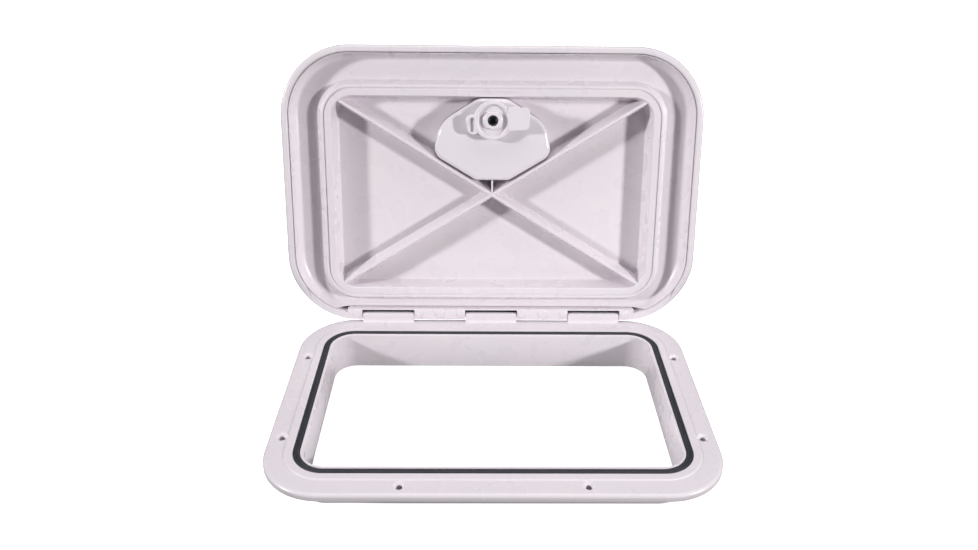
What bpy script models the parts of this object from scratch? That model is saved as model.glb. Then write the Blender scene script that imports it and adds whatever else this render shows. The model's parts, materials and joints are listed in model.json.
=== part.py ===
"""A white plastic deck hatch for a boat, with its lid standing open.

Units are metres, +Z up. The origin is on the deck plane, which is the underside of the frame's
flange, at the middle of the hinge side. X runs along the hinge, and the lid opens away from -Y.
The lid and its latch are modelled closed, and their empties then turn them to the open position.
"""

import math

import bmesh
import bpy
from mathutils import Matrix

MM = 0.001
GAP = 0.3 * MM
EPS = 1.0 * MM
CORNER_STEPS = 8

# Frame: a flange that lies on the deck, and a coaming that goes down through the cut-out.
FRAME_WIDTH = 346 * MM
FRAME_DEPTH = 234 * MM
FRAME_RADIUS = 48 * MM
FLANGE_TOP = 6 * MM
HINGE_MARGIN = 13 * MM
REAR = HINGE_MARGIN
FRONT = REAR - FRAME_DEPTH
MIDDLE = (REAR + FRONT) / 2
LAND_INSET = 15.4 * MM
LAND_TOP = 6.8 * MM
GROOVE_INSET = 22 * MM
GROOVE_WIDTH = 5.6 * MM
GROOVE_FLOOR = 3.8 * MM
UPSTAND = 2 * MM
COAMING_WALL = 3 * MM
COAMING_DEPTH = 28 * MM
OPENING_INSET = GROOVE_INSET + GROOVE_WIDTH + UPSTAND
HOLE_INSET = 10.6 * MM
HOLE_RADIUS = 2.25 * MM
SINK_RADIUS = 4.4 * MM
SIDE_HOLES = (-54 * MM, 54 * MM)
FRONT_HOLES = (-68 * MM, 68 * MM)

# Hinge: three lugs on the frame stand in notches of the lid, with two stub pins in each lug.
OPEN_ANGLE = math.radians(104)
AXIS_Y = REAR - 1 * MM
AXIS_Z = 10.6 * MM
LUG_CENTRES = (-97 * MM, 0.0, 97 * MM)
LUG_LENGTH = 48 * MM
LUG_RADIUS = 4 * MM
PIN_RADIUS = 2 * MM
PIN_LENGTH = 24 * MM
BORE_RADIUS = PIN_RADIUS + GAP

# Lid: an outer shell with a deep lip, and an inner liner with the sealing ring and cross ribs.
OVERHANG = 14.5 * MM
LID_WIDTH = FRAME_WIDTH + 2 * OVERHANG
LID_REAR = AXIS_Y + 3.6 * MM
LID_FRONT = FRONT - OVERHANG
LID_DEPTH = LID_REAR - LID_FRONT
LID_MIDDLE = (LID_REAR + LID_FRONT) / 2
LID_RADIUS = FRAME_RADIUS + OVERHANG
LIP_CROWN = 1.5 * MM
LIP_WIDTH = 6.4 * MM
LINER_FACE = 22.5 * MM
LINER_SHEET = 2.2 * MM
SKIN = 2.8 * MM
RIM_TOP = LINER_FACE + LINER_SHEET + GAP + SKIN
RING_OUTSET = 1.1 * MM
RING_INSET = GROOVE_INSET - RING_OUTSET
RING_CROWN = 7.3 * MM
RING_WIDTH = 8.3 * MM
RING_FLARE = 5.4 * MM
POCKET_DEPTH = 19 * MM
POCKET_DRAFT = math.radians(10)
FLOOR_FACE = RING_CROWN + POCKET_DEPTH
PANEL_TOP = FLOOR_FACE + LINER_SHEET + GAP + SKIN
PANEL_INSET = 20 * MM
RIB_CREST = 8.0 * MM
RIB_CREST_WIDTH = 3 * MM
RIB_DRAFT = math.radians(12)
BAR_WIDTH = 11 * MM
BAR_FACE = 7.4 * MM
BAR_LENGTH = 270 * MM

# Latch: a cam under a fan-shaped dish, turned by a lever that lies in the dish.
HUB_Y = FRONT + 49.4 * MM
DISH_BACK = 5.5 * MM
DISH_WALL = 2.5 * MM
DISH_FLOOR = DISH_BACK + DISH_WALL
SEAL_THICKNESS = 0.8 * MM
RIM_THICKNESS = 1.5 * MM
CAM_TOP = DISH_BACK - GAP
CAM_BOTTOM = -4.8 * MM
CAM_RADIUS = 17 * MM
TONGUE_REACH = 32 * MM
TONGUE_TOP = -1.4 * MM
BOSS_RADIUS = 7.6 * MM
SPINDLE_RADIUS = 6 * MM
SQUARE = 8 * MM
SCREW_RADIUS = 2 * MM
LEVER_REACH = 45 * MM
LEVER_TOP = 28 * MM
LEVER_ANGLE = math.radians(-135)

# Keeper: a slotted plate on the coaming's front wall, which the cam's tongue passes through.
KEEPER_SHEET = 1.2 * MM
KEEPER_HALF = 40 * MM
KEEPER_SCREW_X = 35 * MM
KEEPER_SCREW_Z = -3.5 * MM
SLOT_HALF = 28.5 * MM
SLOT_TOP = -0.9 * MM
SLOT_BOTTOM = -6.0 * MM


# Scene, materials and collections


def clear_scene():
    for obj in list(bpy.data.objects):
        bpy.data.objects.remove(obj, do_unlink=True)


def new_collection(name):
    collection = bpy.data.collections.new(name)
    bpy.context.scene.collection.children.link(collection)
    return collection


def new_material(name, colour, roughness, metallic=0.0):
    material = bpy.data.materials.new(name)
    material.use_nodes = True
    shader = material.node_tree.nodes["Principled BSDF"]
    shader.inputs["Base Color"].default_value = (*colour, 1.0)
    shader.inputs["Roughness"].default_value = roughness
    shader.inputs["Metallic"].default_value = metallic
    material.diffuse_color = (*colour, 1.0)
    return material


clear_scene()
HATCH = new_collection("deck_hatch")
CUTTERS = new_collection("deck_hatch_cutters")
WHITE_PLASTIC = new_material("white_plastic", (0.80, 0.77, 0.80), 0.32)
BLACK_RUBBER = new_material("black_rubber", (0.02, 0.02, 0.03), 0.7)
STAINLESS = new_material("stainless_steel", (0.62, 0.61, 0.60), 0.3, 1.0)


# Outlines, as lists of (x, y) points going anticlockwise


def arc(centre_x, centre_y, radius, start, turn, steps):
    angles = [start + turn * step / steps for step in range(steps + 1)]
    return [(centre_x + radius * math.cos(a), centre_y + radius * math.sin(a)) for a in angles]


def rounded_rectangle(width, depth, radius, middle_y, steps=CORNER_STEPS):
    points = []
    across = width / 2 - radius
    along = depth / 2 - radius
    for quarter, (side_x, side_y) in enumerate(((1, 1), (-1, 1), (-1, -1), (1, -1))):
        start = quarter * math.pi / 2
        centre = (side_x * across, middle_y + side_y * along)
        points += arc(*centre, radius, start, math.pi / 2, steps)
    return points


def inset_rectangle(width, depth, radius, middle_y, inset):
    return rounded_rectangle(width - 2 * inset, depth - 2 * inset, radius - inset, middle_y)


def frame_outline(inset):
    return inset_rectangle(FRAME_WIDTH, FRAME_DEPTH, FRAME_RADIUS, MIDDLE, inset)


def lid_outline(inset):
    return inset_rectangle(LID_WIDTH, LID_DEPTH, LID_RADIUS, LID_MIDDLE, inset)


def rounded_polygon(corners):
    """Rounds each convex corner (x, y, radius) of an anticlockwise polygon with an arc."""
    points = []
    for index, (x, y, radius) in enumerate(corners):
        before_x, before_y, _ = corners[index - 1]
        after_x, after_y, _ = corners[(index + 1) % len(corners)]
        way_in = math.atan2(y - before_y, x - before_x)
        way_out = math.atan2(after_y - y, after_x - x)
        turn = (way_out - way_in) % (2 * math.pi)
        back = radius * math.tan(turn / 2)
        centre_x = x - back * math.cos(way_in) - radius * math.sin(way_in)
        centre_y = y - back * math.sin(way_in) + radius * math.cos(way_in)
        steps = max(2, round(math.degrees(turn) / 15))
        points += arc(centre_x, centre_y, radius, way_in - math.pi / 2, turn, steps)
    return points


def dish_outline(grow):
    """The fan shape of the latch dish round its hub, made larger all round by grow."""
    half = ((13, 18.5, 14), (47, -3, 26), (53.5, -31, 12), (15, -54, 8))
    right = [(x * MM, HUB_Y - v * MM, r * MM) for x, v, r in half]
    left = [(-x, y, r) for x, y, r in reversed(right)]
    corners = left + right
    # The fan is scaled from its middle, which grows every side by nearly the same amount.
    middle_y = HUB_Y + 18 * MM
    wide = (54 * MM + grow) / (54 * MM)
    deep = (36 * MM + grow) / (36 * MM)
    grown = [(x * wide, middle_y + (y - middle_y) * deep, r + grow) for x, y, r in corners]
    return rounded_polygon(grown)


# Solids


def put(obj, material=None, name=None):
    """Puts an object among the hatch's pieces, or among the cutters when it has no material."""
    if name:
        obj.name = name
        obj.data.name = name
    for collection in list(obj.users_collection):
        collection.objects.unlink(obj)
    if material is None:
        CUTTERS.objects.link(obj)
        obj.hide_render = True
        obj.display_type = "WIRE"
        return obj
    HATCH.objects.link(obj)
    obj.data.materials.clear()
    obj.data.materials.append(material)
    return obj


def mesh_object(name, bm):
    bmesh.ops.recalc_face_normals(bm, faces=bm.faces)
    mesh = bpy.data.meshes.new(name)
    bm.to_mesh(mesh)
    bm.free()
    obj = bpy.data.objects.new(name, mesh)
    bpy.context.scene.collection.objects.link(obj)
    return obj


def curve_to_mesh(curve_obj):
    """Makes a curve object a mesh object with its caps welded on."""
    bpy.context.view_layer.update()
    graph = bpy.context.evaluated_depsgraph_get()
    mesh = bpy.data.meshes.new_from_object(curve_obj.evaluated_get(graph))
    bm = bmesh.new()
    bm.from_mesh(mesh)
    bpy.data.meshes.remove(mesh)
    bmesh.ops.remove_doubles(bm, verts=bm.verts, dist=0.00001)
    obj = mesh_object(curve_obj.name, bm)
    obj.matrix_world = curve_obj.matrix_world
    curve = curve_obj.data
    bpy.data.objects.remove(curve_obj)
    bpy.data.curves.remove(curve)
    return obj


def poly_curve(name, points, dimensions, cyclic=True):
    curve = bpy.data.curves.new(name, "CURVE")
    curve.dimensions = dimensions
    spline = curve.splines.new("POLY")
    spline.points.add(len(points) - 1)
    for point, (x, y) in zip(spline.points, points):
        point.co = (x, y, 0, 1)
    spline.use_cyclic_u = cyclic
    obj = bpy.data.objects.new(name, curve)
    bpy.context.scene.collection.objects.link(obj)
    return obj


def plate(name, outline, low, high, material=None, round_edge=0.0):
    """A flat plate of this outline from z = low to high, with its edges rounded if asked."""
    obj = poly_curve(name, outline, "2D")
    obj.data.fill_mode = "BOTH"
    obj.data.extrude = (high - low) / 2 - round_edge
    if round_edge:
        obj.data.bevel_depth = round_edge
        obj.data.bevel_resolution = 1
        obj.data.offset = -round_edge
    obj.location.z = (high + low) / 2
    return put(curve_to_mesh(obj), material, name)


def ring_sweep(name, outline, profile, material=None, capped=False):
    """Sweeps a profile of (inset, z) points once round an outline.

    The profile closes on itself, or, when capped, its two ends are each closed by a flat face.
    """
    across = [(-inset, z) for inset, z in profile]
    section = poly_curve(name + "_section", across, "2D", not capped)
    path = poly_curve(name, outline, "3D")
    path.data.twist_mode = "Z_UP"
    path.data.bevel_mode = "OBJECT"
    path.data.bevel_object = section
    obj = put(curve_to_mesh(path), material, name)
    bpy.data.objects.remove(section)
    if capped:
        bm = bmesh.new()
        bm.from_mesh(obj.data)
        bmesh.ops.holes_fill(bm, edges=[edge for edge in bm.edges if edge.is_boundary], sides=0)
        bmesh.ops.recalc_face_normals(bm, faces=bm.faces)
        bm.to_mesh(obj.data)
        bm.free()
    return obj


def bar_along_x(name, outline, centre_x, length, material=None):
    """A bar whose (y, z) outline is extruded along X."""
    obj = poly_curve(name, outline, "2D")
    obj.data.fill_mode = "BOTH"
    obj.data.extrude = length / 2
    # Local x, y and z become world y, z and x.
    turn = Matrix(((0, 0, 1, 0), (1, 0, 0, 0), (0, 1, 0, 0), (0, 0, 0, 1)))
    obj.matrix_world = Matrix.Translation((centre_x, 0, 0)) @ turn
    return put(curve_to_mesh(obj), material, name)


def box(name, low, high, material=None):
    bm = bmesh.new()
    bmesh.ops.create_cube(bm, size=1.0)
    size = [b - a for a, b in zip(low, high)]
    middle = [(a + b) / 2 for a, b in zip(low, high)]
    bmesh.ops.transform(bm, matrix=Matrix.Diagonal((*size, 1)), verts=bm.verts)
    obj = put(mesh_object(name, bm), material, name)
    obj.location = middle
    return obj


def turned(name, profile, steps, material=None):
    """Turns an (r, z) profile round Z. It runs from its top down its outer side to its bottom."""
    bm = bmesh.new()
    verts = [bm.verts.new((r, 0, z)) for r, z in profile]
    closed = profile[0][0] > 0
    pairs = list(zip(verts, verts[1:] + verts[:1] if closed else verts[1:]))
    for start, end in pairs:
        bm.edges.new((start, end))
    mesh = bpy.data.meshes.new(name)
    bm.to_mesh(mesh)
    bm.free()
    obj = bpy.data.objects.new(name, mesh)
    bpy.context.scene.collection.objects.link(obj)
    screw = obj.modifiers.new("turn", "SCREW")
    screw.steps = steps
    screw.render_steps = steps
    screw.use_merge_vertices = True
    screw.merge_threshold = 0.00001
    screw.use_smooth_shade = True
    return put(obj, material, name)


def cylinder(name, radius, low, high, steps=24, material=None):
    return turned(name, [(0, high), (radius, high), (radius, low), (0, low)], steps, material)


def along_x(obj, x, y, z):
    """Turns a piece made round Z so that its axis runs along +X from this point."""
    obj.rotation_euler = (0, math.pi / 2, 0)
    obj.location = (x, y, z)
    return obj


def boolean(obj, operation, others):
    for other in others:
        modifier = obj.modifiers.new(operation.lower(), "BOOLEAN")
        modifier.operation = operation
        modifier.solver = "EXACT"
        modifier.object = other
    return obj


def cut(obj, *others):
    return boolean(obj, "DIFFERENCE", others)


def join(obj, *others):
    return boolean(obj, "UNION", others)


def smooth(obj, angle=30):
    obj.data.shade_smooth()
    obj.data.set_sharp_from_angle(angle=math.radians(angle))
    return obj


def hang(children, parent):
    """Parents objects that are placed in world coordinates, without moving them."""
    bpy.context.view_layer.update()
    for child in children:
        child.parent = parent
        child.matrix_parent_inverse = parent.matrix_world.inverted()


def empty(name, location):
    obj = bpy.data.objects.new(name, None)
    obj.location = location
    HATCH.objects.link(obj)
    return obj


# Frame and what is fixed to it


def lug_profile():
    """The (y, z) outline of a hinge lug: a barrel round the pin with a foot on the flange."""
    foot = [(REAR - 1 * MM, 3 * MM), (REAR - 0.4 * MM, 5 * MM)]
    barrel = arc(AXIS_Y, AXIS_Z, LUG_RADIUS, 0, math.pi, 8)
    root_y = AXIS_Y - LUG_RADIUS
    fillet = [
        (root_y - 0.3 * MM, AXIS_Z - 2.2 * MM),
        (root_y - 1.5 * MM, FLANGE_TOP + 0.7 * MM),
        (root_y - 3.6 * MM, FLANGE_TOP - 0.2 * MM),
        (root_y - 3.6 * MM, 3 * MM),
    ]
    return foot + barrel + fillet


def pin_bores(direction):
    """Bores from both ends of each lug: into the lug (-1) or out into the lid (+1)."""
    bores = []
    for centre in LUG_CENTRES:
        for side in (-1, 1):
            mouth = centre + side * (LUG_LENGTH / 2 - direction * EPS)
            blind = centre + side * (LUG_LENGTH / 2 + direction * (PIN_LENGTH / 2 + 2 * GAP))
            bore = cylinder("bore_cutter", BORE_RADIUS, 0, abs(blind - mouth), 16)
            bores.append(along_x(bore, min(mouth, blind), AXIS_Y, AXIS_Z))
    return bores


def screw_hole(x, y):
    """A countersunk hole through the flange."""
    sink_bottom = FLANGE_TOP - (SINK_RADIUS - HOLE_RADIUS)
    profile = [
        (0, FLANGE_TOP + EPS),
        (SINK_RADIUS, FLANGE_TOP + EPS),
        (SINK_RADIUS, FLANGE_TOP),
        (HOLE_RADIUS, sink_bottom),
        (HOLE_RADIUS, -EPS),
        (0, -EPS),
    ]
    hole = turned("hole_cutter", profile, 16)
    hole.location = (x, y, 0)
    return hole


def keeper_screw_cutter(x):
    cutter = cylinder("keeper_hole_cutter", 1.4 * MM + GAP, 0, 12 * MM, 12)
    cutter.rotation_euler = (math.pi / 2, 0, 0)
    cutter.location = (x, FRONT + OPENING_INSET + 4 * MM, KEEPER_SCREW_Z)
    return cutter


def build_frame():
    outer_wall = OPENING_INSET - COAMING_WALL
    profile = [
        (0, 0.8 * MM),
        (0, 3.6 * MM),
        (0.8 * MM, 5.4 * MM),
        (2.6 * MM, FLANGE_TOP),
        (LAND_INSET, FLANGE_TOP),
        (LAND_INSET + 0.8 * MM, LAND_TOP),
        (GROOVE_INSET, LAND_TOP),
        (GROOVE_INSET, GROOVE_FLOOR),
        (GROOVE_INSET + GROOVE_WIDTH, GROOVE_FLOOR),
        (GROOVE_INSET + GROOVE_WIDTH, LAND_TOP),
        (OPENING_INSET, LAND_TOP),
        (OPENING_INSET, -COAMING_DEPTH),
        (outer_wall, -COAMING_DEPTH),
        (outer_wall, 0),
        (0.8 * MM, 0),
    ]
    frame = ring_sweep("frame", frame_outline(0), profile, WHITE_PLASTIC)
    lugs = [bar_along_x("lug", lug_profile(), x, LUG_LENGTH) for x in LUG_CENTRES]
    join(frame, *lugs)
    cut(frame, *pin_bores(-1))
    side_x = FRAME_WIDTH / 2 - HOLE_INSET
    for x in (-side_x, side_x):
        cut(frame, *[screw_hole(x, MIDDLE + y) for y in SIDE_HOLES])
    cut(frame, *[screw_hole(x, FRONT + HOLE_INSET) for x in FRONT_HOLES])
    wall_front = FRONT + outer_wall
    window_low = (-SLOT_HALF - EPS, wall_front - EPS, SLOT_BOTTOM - 0.5 * MM)
    window_high = (SLOT_HALF + EPS, wall_front + COAMING_WALL + EPS, SLOT_TOP + 0.4 * MM)
    cut(frame, box("window_cutter", window_low, window_high))
    cut(frame, *[keeper_screw_cutter(x) for x in (-KEEPER_SCREW_X, KEEPER_SCREW_X)])
    return smooth(frame)


def build_gasket():
    left = GAP
    right = GROOVE_WIDTH - GAP
    low = GROOVE_FLOOR + GAP
    high = 7.0 * MM
    shoulder = high - 0.8 * MM
    section = [
        (left, low),
        (left, shoulder),
        (left + 1.2 * MM, high),
        (right - 1.2 * MM, high),
        (right, shoulder),
        (right, low),
    ]
    return smooth(ring_sweep("gasket", frame_outline(GROOVE_INSET), section, BLACK_RUBBER), 50)


def build_keeper():
    face = FRONT + OPENING_INSET + GAP
    low = (-KEEPER_HALF, face, -12 * MM)
    high = (KEEPER_HALF, face + KEEPER_SHEET, 4 * MM)
    keeper = box("keeper_plate", low, high, STAINLESS)
    slot_low = (-SLOT_HALF, face - EPS, SLOT_BOTTOM)
    slot_high = (SLOT_HALF, face + KEEPER_SHEET + EPS, SLOT_TOP)
    cut(keeper, box("slot_cutter", slot_low, slot_high))
    cut(keeper, *[keeper_screw_cutter(x) for x in (-KEEPER_SCREW_X, KEEPER_SCREW_X)])
    head_face = face + KEEPER_SHEET + GAP
    profile = [
        (0, 1.6 * MM),
        (1.8 * MM, 1.4 * MM),
        (2.8 * MM, 0.8 * MM),
        (2.8 * MM, 0),
        (1.4 * MM, 0),
        (1.4 * MM, -4.6 * MM),
        (0, -4.6 * MM),
    ]
    for index, x in enumerate((-KEEPER_SCREW_X, KEEPER_SCREW_X), start=1):
        screw = turned(f"keeper_screw_{index}", profile, 16, STAINLESS)
        screw.rotation_euler = (-math.pi / 2, 0, 0)
        screw.location = (x, head_face, KEEPER_SCREW_Z)


# Lid, modelled closed


def frame_clearance():
    """What the closed lid must leave free round the flange, with room behind for its swing."""
    swing = 6 * MM
    around = 1 * MM
    width = FRAME_WIDTH + 2 * around
    depth = FRAME_DEPTH + 2 * around + swing
    outline = rounded_rectangle(width, depth, FRAME_RADIUS + around, MIDDLE + swing / 2)
    return plate("clearance_cutter", outline, -10 * MM, BAR_FACE)


def corner_trimmer():
    """Rounds the bar's lower rear edge about the hinge axis."""
    radius = 3.9 * MM
    curve = arc(AXIS_Y, AXIS_Z, radius, 0, -math.pi / 2, 8)
    far = 8 * MM
    corner = [(AXIS_Y, AXIS_Z - far), (AXIS_Y + far, AXIS_Z - far), (AXIS_Y + far, AXIS_Z)]
    return bar_along_x("trim_cutter", curve + corner, 0, BAR_LENGTH + 40 * MM)


def bar_dome(x, radius):
    """A low dome moulded on the hinge bar's face."""
    height = 0.7 * MM
    profile = [
        (0, 2 * MM),
        (radius, 2 * MM),
        (radius, 0),
        (0.72 * radius, -0.55 * height),
        (0.38 * radius, -0.9 * height),
        (0, -height),
    ]
    dome = turned("dome", profile, 16)
    dome.location = (x, AXIS_Y, BAR_FACE)
    return dome


def build_shell():
    face = LINER_FACE + LINER_SHEET + GAP
    panel_face = PANEL_TOP - SKIN
    inner = LIP_WIDTH + 2 * MM
    step_in = PANEL_INSET + 1.2 * SKIN
    profile = [
        (PANEL_INSET + 2.6 * MM, PANEL_TOP),
        (PANEL_INSET, RIM_TOP),
        (6.5 * MM, RIM_TOP),
        (3.2 * MM, RIM_TOP - 1.2 * MM),
        (1.6 * MM, RIM_TOP - 4 * MM),
        (0, 4 * MM),
        (0.7 * MM, 2.1 * MM),
        (2.4 * MM, LIP_CROWN),
        (LIP_WIDTH - 1.8 * MM, LIP_CROWN),
        (LIP_WIDTH - 0.3 * MM, 2.3 * MM),
        (LIP_WIDTH, 4 * MM),
        (inner, face),
        (step_in, face),
        (step_in + 2 * MM, panel_face),
    ]
    shell = ring_sweep("lid_outer_shell", lid_outline(0), profile, WHITE_PLASTIC, True)
    bar_low = (-BAR_LENGTH / 2, LID_REAR - BAR_WIDTH, BAR_FACE - 3 * MM)
    bar_high = (BAR_LENGTH / 2, LID_REAR - 3 * MM, face + EPS)
    join(shell, box("bar", bar_low, bar_high))
    cut(shell, frame_clearance())
    ends = LUG_LENGTH / 2 + 4.8 * MM
    domes = [bar_dome(x + side * ends, 3.6 * MM) for x in LUG_CENTRES for side in (-1, 1)]
    domes += [bar_dome(x, 3.9 * MM) for x in (-48.5 * MM, 48.5 * MM)]
    join(shell, *domes)
    cut(shell, corner_trimmer())
    half = LUG_LENGTH / 2 + 0.5 * MM
    for x in LUG_CENTRES:
        low = (x - half, AXIS_Y - LUG_RADIUS - 1.4 * MM, 0)
        high = (x + half, LID_REAR + 3 * MM, AXIS_Z + LUG_RADIUS + 1.4 * MM)
        cut(shell, box("notch_cutter", low, high))
    cut(shell, *pin_bores(1))
    cut(shell, plate("shell_dish_cutter", dish_outline(GAP), 20 * MM, 45 * MM))
    return smooth(shell)


def rib(angle, length):
    """One straight rib through the middle of the ring, tapering towards its crest."""
    height = FLOOR_FACE + EPS - RIB_CREST
    crest = RIB_CREST_WIDTH / 2
    foot = crest + height * math.tan(RIB_DRAFT)
    section = [(foot, height), (-foot, height), (-crest, 0), (crest, 0)]
    obj = poly_curve("rib", section, "2D")
    obj.data.fill_mode = "BOTH"
    obj.data.extrude = length / 2
    across = (-math.sin(angle), math.cos(angle))
    along = (math.cos(angle), math.sin(angle))
    turn = Matrix(
        ((across[0], 0, along[0], 0), (across[1], 0, along[1], 0), (0, 1, 0, 0), (0, 0, 0, 1))
    )
    obj.matrix_world = Matrix.Translation((0, MIDDLE, RIB_CREST)) @ turn
    return put(curve_to_mesh(obj), None, "rib")


def build_liner():
    back = LINER_FACE + LINER_SHEET
    floor_back = FLOOR_FACE + LINER_SHEET
    foot = RING_WIDTH + POCKET_DEPTH * math.tan(POCKET_DRAFT)
    channel_top = 12 * MM
    root = LINER_FACE + 1 * MM
    profile = [
        (foot, FLOOR_FACE),
        (RING_WIDTH, RING_CROWN + 0.9 * MM),
        (RING_WIDTH - 1 * MM, RING_CROWN),
        (0.7 * MM, RING_CROWN),
        (-0.4 * MM, RING_CROWN + 0.5 * MM),
        (-1.4 * MM, RING_CROWN + 2.6 * MM),
        (-RING_FLARE - 0.3 * MM, root),
        (-RING_FLARE + 2.8 * MM, root),
        (1.2 * MM, channel_top),
        (RING_WIDTH - 1.9 * MM, channel_top),
        (foot - 2 * MM, floor_back),
    ]
    gap_to_lip = 0.4 * MM
    inset = LIP_WIDTH + 2 * MM + gap_to_lip
    rear = LID_REAR - BAR_WIDTH - gap_to_lip
    front = LID_FRONT + inset
    width = LID_WIDTH - 2 * inset
    radius = LID_RADIUS - inset
    outline = rounded_rectangle(width, rear - front, radius, (rear + front) / 2)
    liner = plate("lid_inner_liner", outline, LINER_FACE, back, WHITE_PLASTIC)
    # Its corners have other steps than the ring's, so that no corner of one lies on the other.
    grow = 2 * (RING_FLARE - 1 * MM) - 2 * GROOVE_INSET
    opening_radius = FRAME_RADIUS - GROOVE_INSET + 6 * MM
    width = FRAME_WIDTH + grow
    depth = FRAME_DEPTH + grow
    opening = rounded_rectangle(width, depth, opening_radius, MIDDLE, CORNER_STEPS - 1)
    hole = plate("liner_hole_cutter", opening, 15 * MM, 35 * MM)
    ring = ring_sweep("ring", frame_outline(RING_INSET), profile, None, True)
    across = FRAME_WIDTH / 2 - RING_INSET - RING_WIDTH
    along = FRAME_DEPTH / 2 - RING_INSET - RING_WIDTH
    slope = math.atan2(along, across)
    length = 2 * math.hypot(across, along) - 12 * MM
    web_low = (-0.8 * MM, MIDDLE - 16 * MM, RIB_CREST + 0.8 * MM)
    web_high = (0.8 * MM, MIDDLE, FLOOR_FACE + EPS)
    web = box("web", web_low, web_high)
    cut(liner, hole)
    join(liner, ring, rib(slope, length), rib(-slope, length), web)
    cut(liner, plate("liner_dish_cutter", dish_outline(GAP), 0, 45 * MM))
    cut(liner, ring_scoop())
    return smooth(liner)


def ring_scoop():
    """The shallow scoop in the ring's inner edge beside the cam."""
    half_width = 21.5 * MM
    depth = 1.8 * MM
    radius = (half_width**2 + depth**2) / (2 * depth)
    inner_edge = FRONT + RING_INSET + RING_WIDTH
    scoop = cylinder("scoop_cutter", radius, -4.3 * MM, 4 * MM, 128)
    scoop.rotation_euler = (-math.pi / 2, 0, 0)
    scoop.location = (0, inner_edge, RING_CROWN + depth - radius)
    return scoop


# Latch, modelled closed and unlatched


def build_dish():
    rim_low = PANEL_TOP + 2 * GAP + SEAL_THICKNESS
    rim_high = rim_low + RIM_THICKNESS
    dish = plate("latch_dish", dish_outline(0), DISH_BACK, rim_high, WHITE_PLASTIC, 1 * MM)
    join(dish, plate("dish_rim", dish_outline(6 * MM), rim_low, rim_high))
    cut(dish, plate("dish_cutter", dish_outline(-DISH_WALL), DISH_FLOOR, 50 * MM))
    bore = cylinder("dish_bore_cutter", SPINDLE_RADIUS + GAP, 0, 20 * MM, 24)
    bore.location = (0, HUB_Y, 0)
    cut(dish, bore)
    smooth(dish)
    low = PANEL_TOP + GAP
    seal = plate("dish_seal", dish_outline(5 * MM), low, low + SEAL_THICKNESS, BLACK_RUBBER)
    hole = plate("seal_cutter", dish_outline(2 * GAP), low - EPS, low + 4 * EPS)
    cut(seal, hole)
    return dish, seal


def hub_shift(points):
    return [(x, HUB_Y + y) for x, y in points]


def build_cam():
    """The cam, seen from below: its tongue points to +X and its counter lobe to -X."""
    rim = 3 * MM
    well = -1.2 * MM
    hole = SCREW_RADIUS + GAP
    profile = [
        (hole, 4 * MM),
        (10 * MM, 4 * MM),
        (10 * MM, CAM_TOP),
        (CAM_RADIUS - 0.8 * MM, CAM_TOP),
        (CAM_RADIUS, CAM_TOP - 0.8 * MM),
        (CAM_RADIUS, CAM_BOTTOM + 1.8 * MM),
        (CAM_RADIUS - 1 * MM, CAM_BOTTOM + 0.8 * MM),
        (CAM_RADIUS - rim, CAM_BOTTOM + 0.8 * MM),
        (CAM_RADIUS - rim - 0.6 * MM, well),
        (BOSS_RADIUS + 0.6 * MM, well),
        (BOSS_RADIUS, CAM_BOTTOM + 0.8 * MM),
        (BOSS_RADIUS - 0.8 * MM, CAM_BOTTOM),
        (4.7 * MM, CAM_BOTTOM),
        (4.7 * MM, -1.5 * MM),
        (hole, -1.5 * MM),
    ]
    cam = turned("cam", profile, 32, WHITE_PLASTIC)
    cam.location = (0, HUB_Y, 0)
    tongue_outline = rounded_polygon(
        [
            (13 * MM, HUB_Y - 12 * MM, 1.5 * MM),
            (TONGUE_REACH, HUB_Y - 11 * MM, 3 * MM),
            (TONGUE_REACH, HUB_Y + 8 * MM, 4 * MM),
            (13 * MM, HUB_Y + 9 * MM, 1.5 * MM),
        ]
    )
    tongue = plate("tongue", tongue_outline, CAM_BOTTOM, TONGUE_TOP, None, 0.6 * MM)
    lobe_outline = rounded_polygon(
        [
            (-24.7 * MM, HUB_Y - 4.5 * MM, 5 * MM),
            (-12.5 * MM, HUB_Y - 5.5 * MM, 1.6 * MM),
            (-12.5 * MM, HUB_Y + 11 * MM, 1.6 * MM),
            (-22 * MM, HUB_Y + 14 * MM, 6 * MM),
        ]
    )
    lobe = plate("lobe", lobe_outline, CAM_BOTTOM + 1.2 * MM, CAM_TOP - 0.4 * MM, None, 1 * MM)
    join(cam, tongue, lobe)
    hollow_outline = rounded_polygon(
        [
            (-22 * MM, HUB_Y - 2 * MM, 3 * MM),
            (-16.5 * MM, HUB_Y - 2.5 * MM, 1 * MM),
            (-16.5 * MM, HUB_Y + 9 * MM, 1 * MM),
            (-20.5 * MM, HUB_Y + 11 * MM, 2 * MM),
        ]
    )
    hollow = plate("hollow_cutter", hollow_outline, CAM_BOTTOM - 3 * MM, CAM_BOTTOM + 3.4 * MM)
    half = SQUARE / 2 + GAP
    socket_low = (-half, HUB_Y - half, 0.6 * MM)
    socket_high = (half, HUB_Y + half, CAM_TOP + EPS)
    socket = box("socket_cutter", socket_low, socket_high)
    cut(cam, hollow, socket)
    return smooth(cam)


def washer(name, inner, outer, low, high, material, steps=32):
    profile = [(inner, high), (outer, high), (outer, low), (inner, low)]
    obj = turned(name, profile, steps, material)
    obj.location = (0, HUB_Y, 0)
    return smooth(obj)


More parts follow.
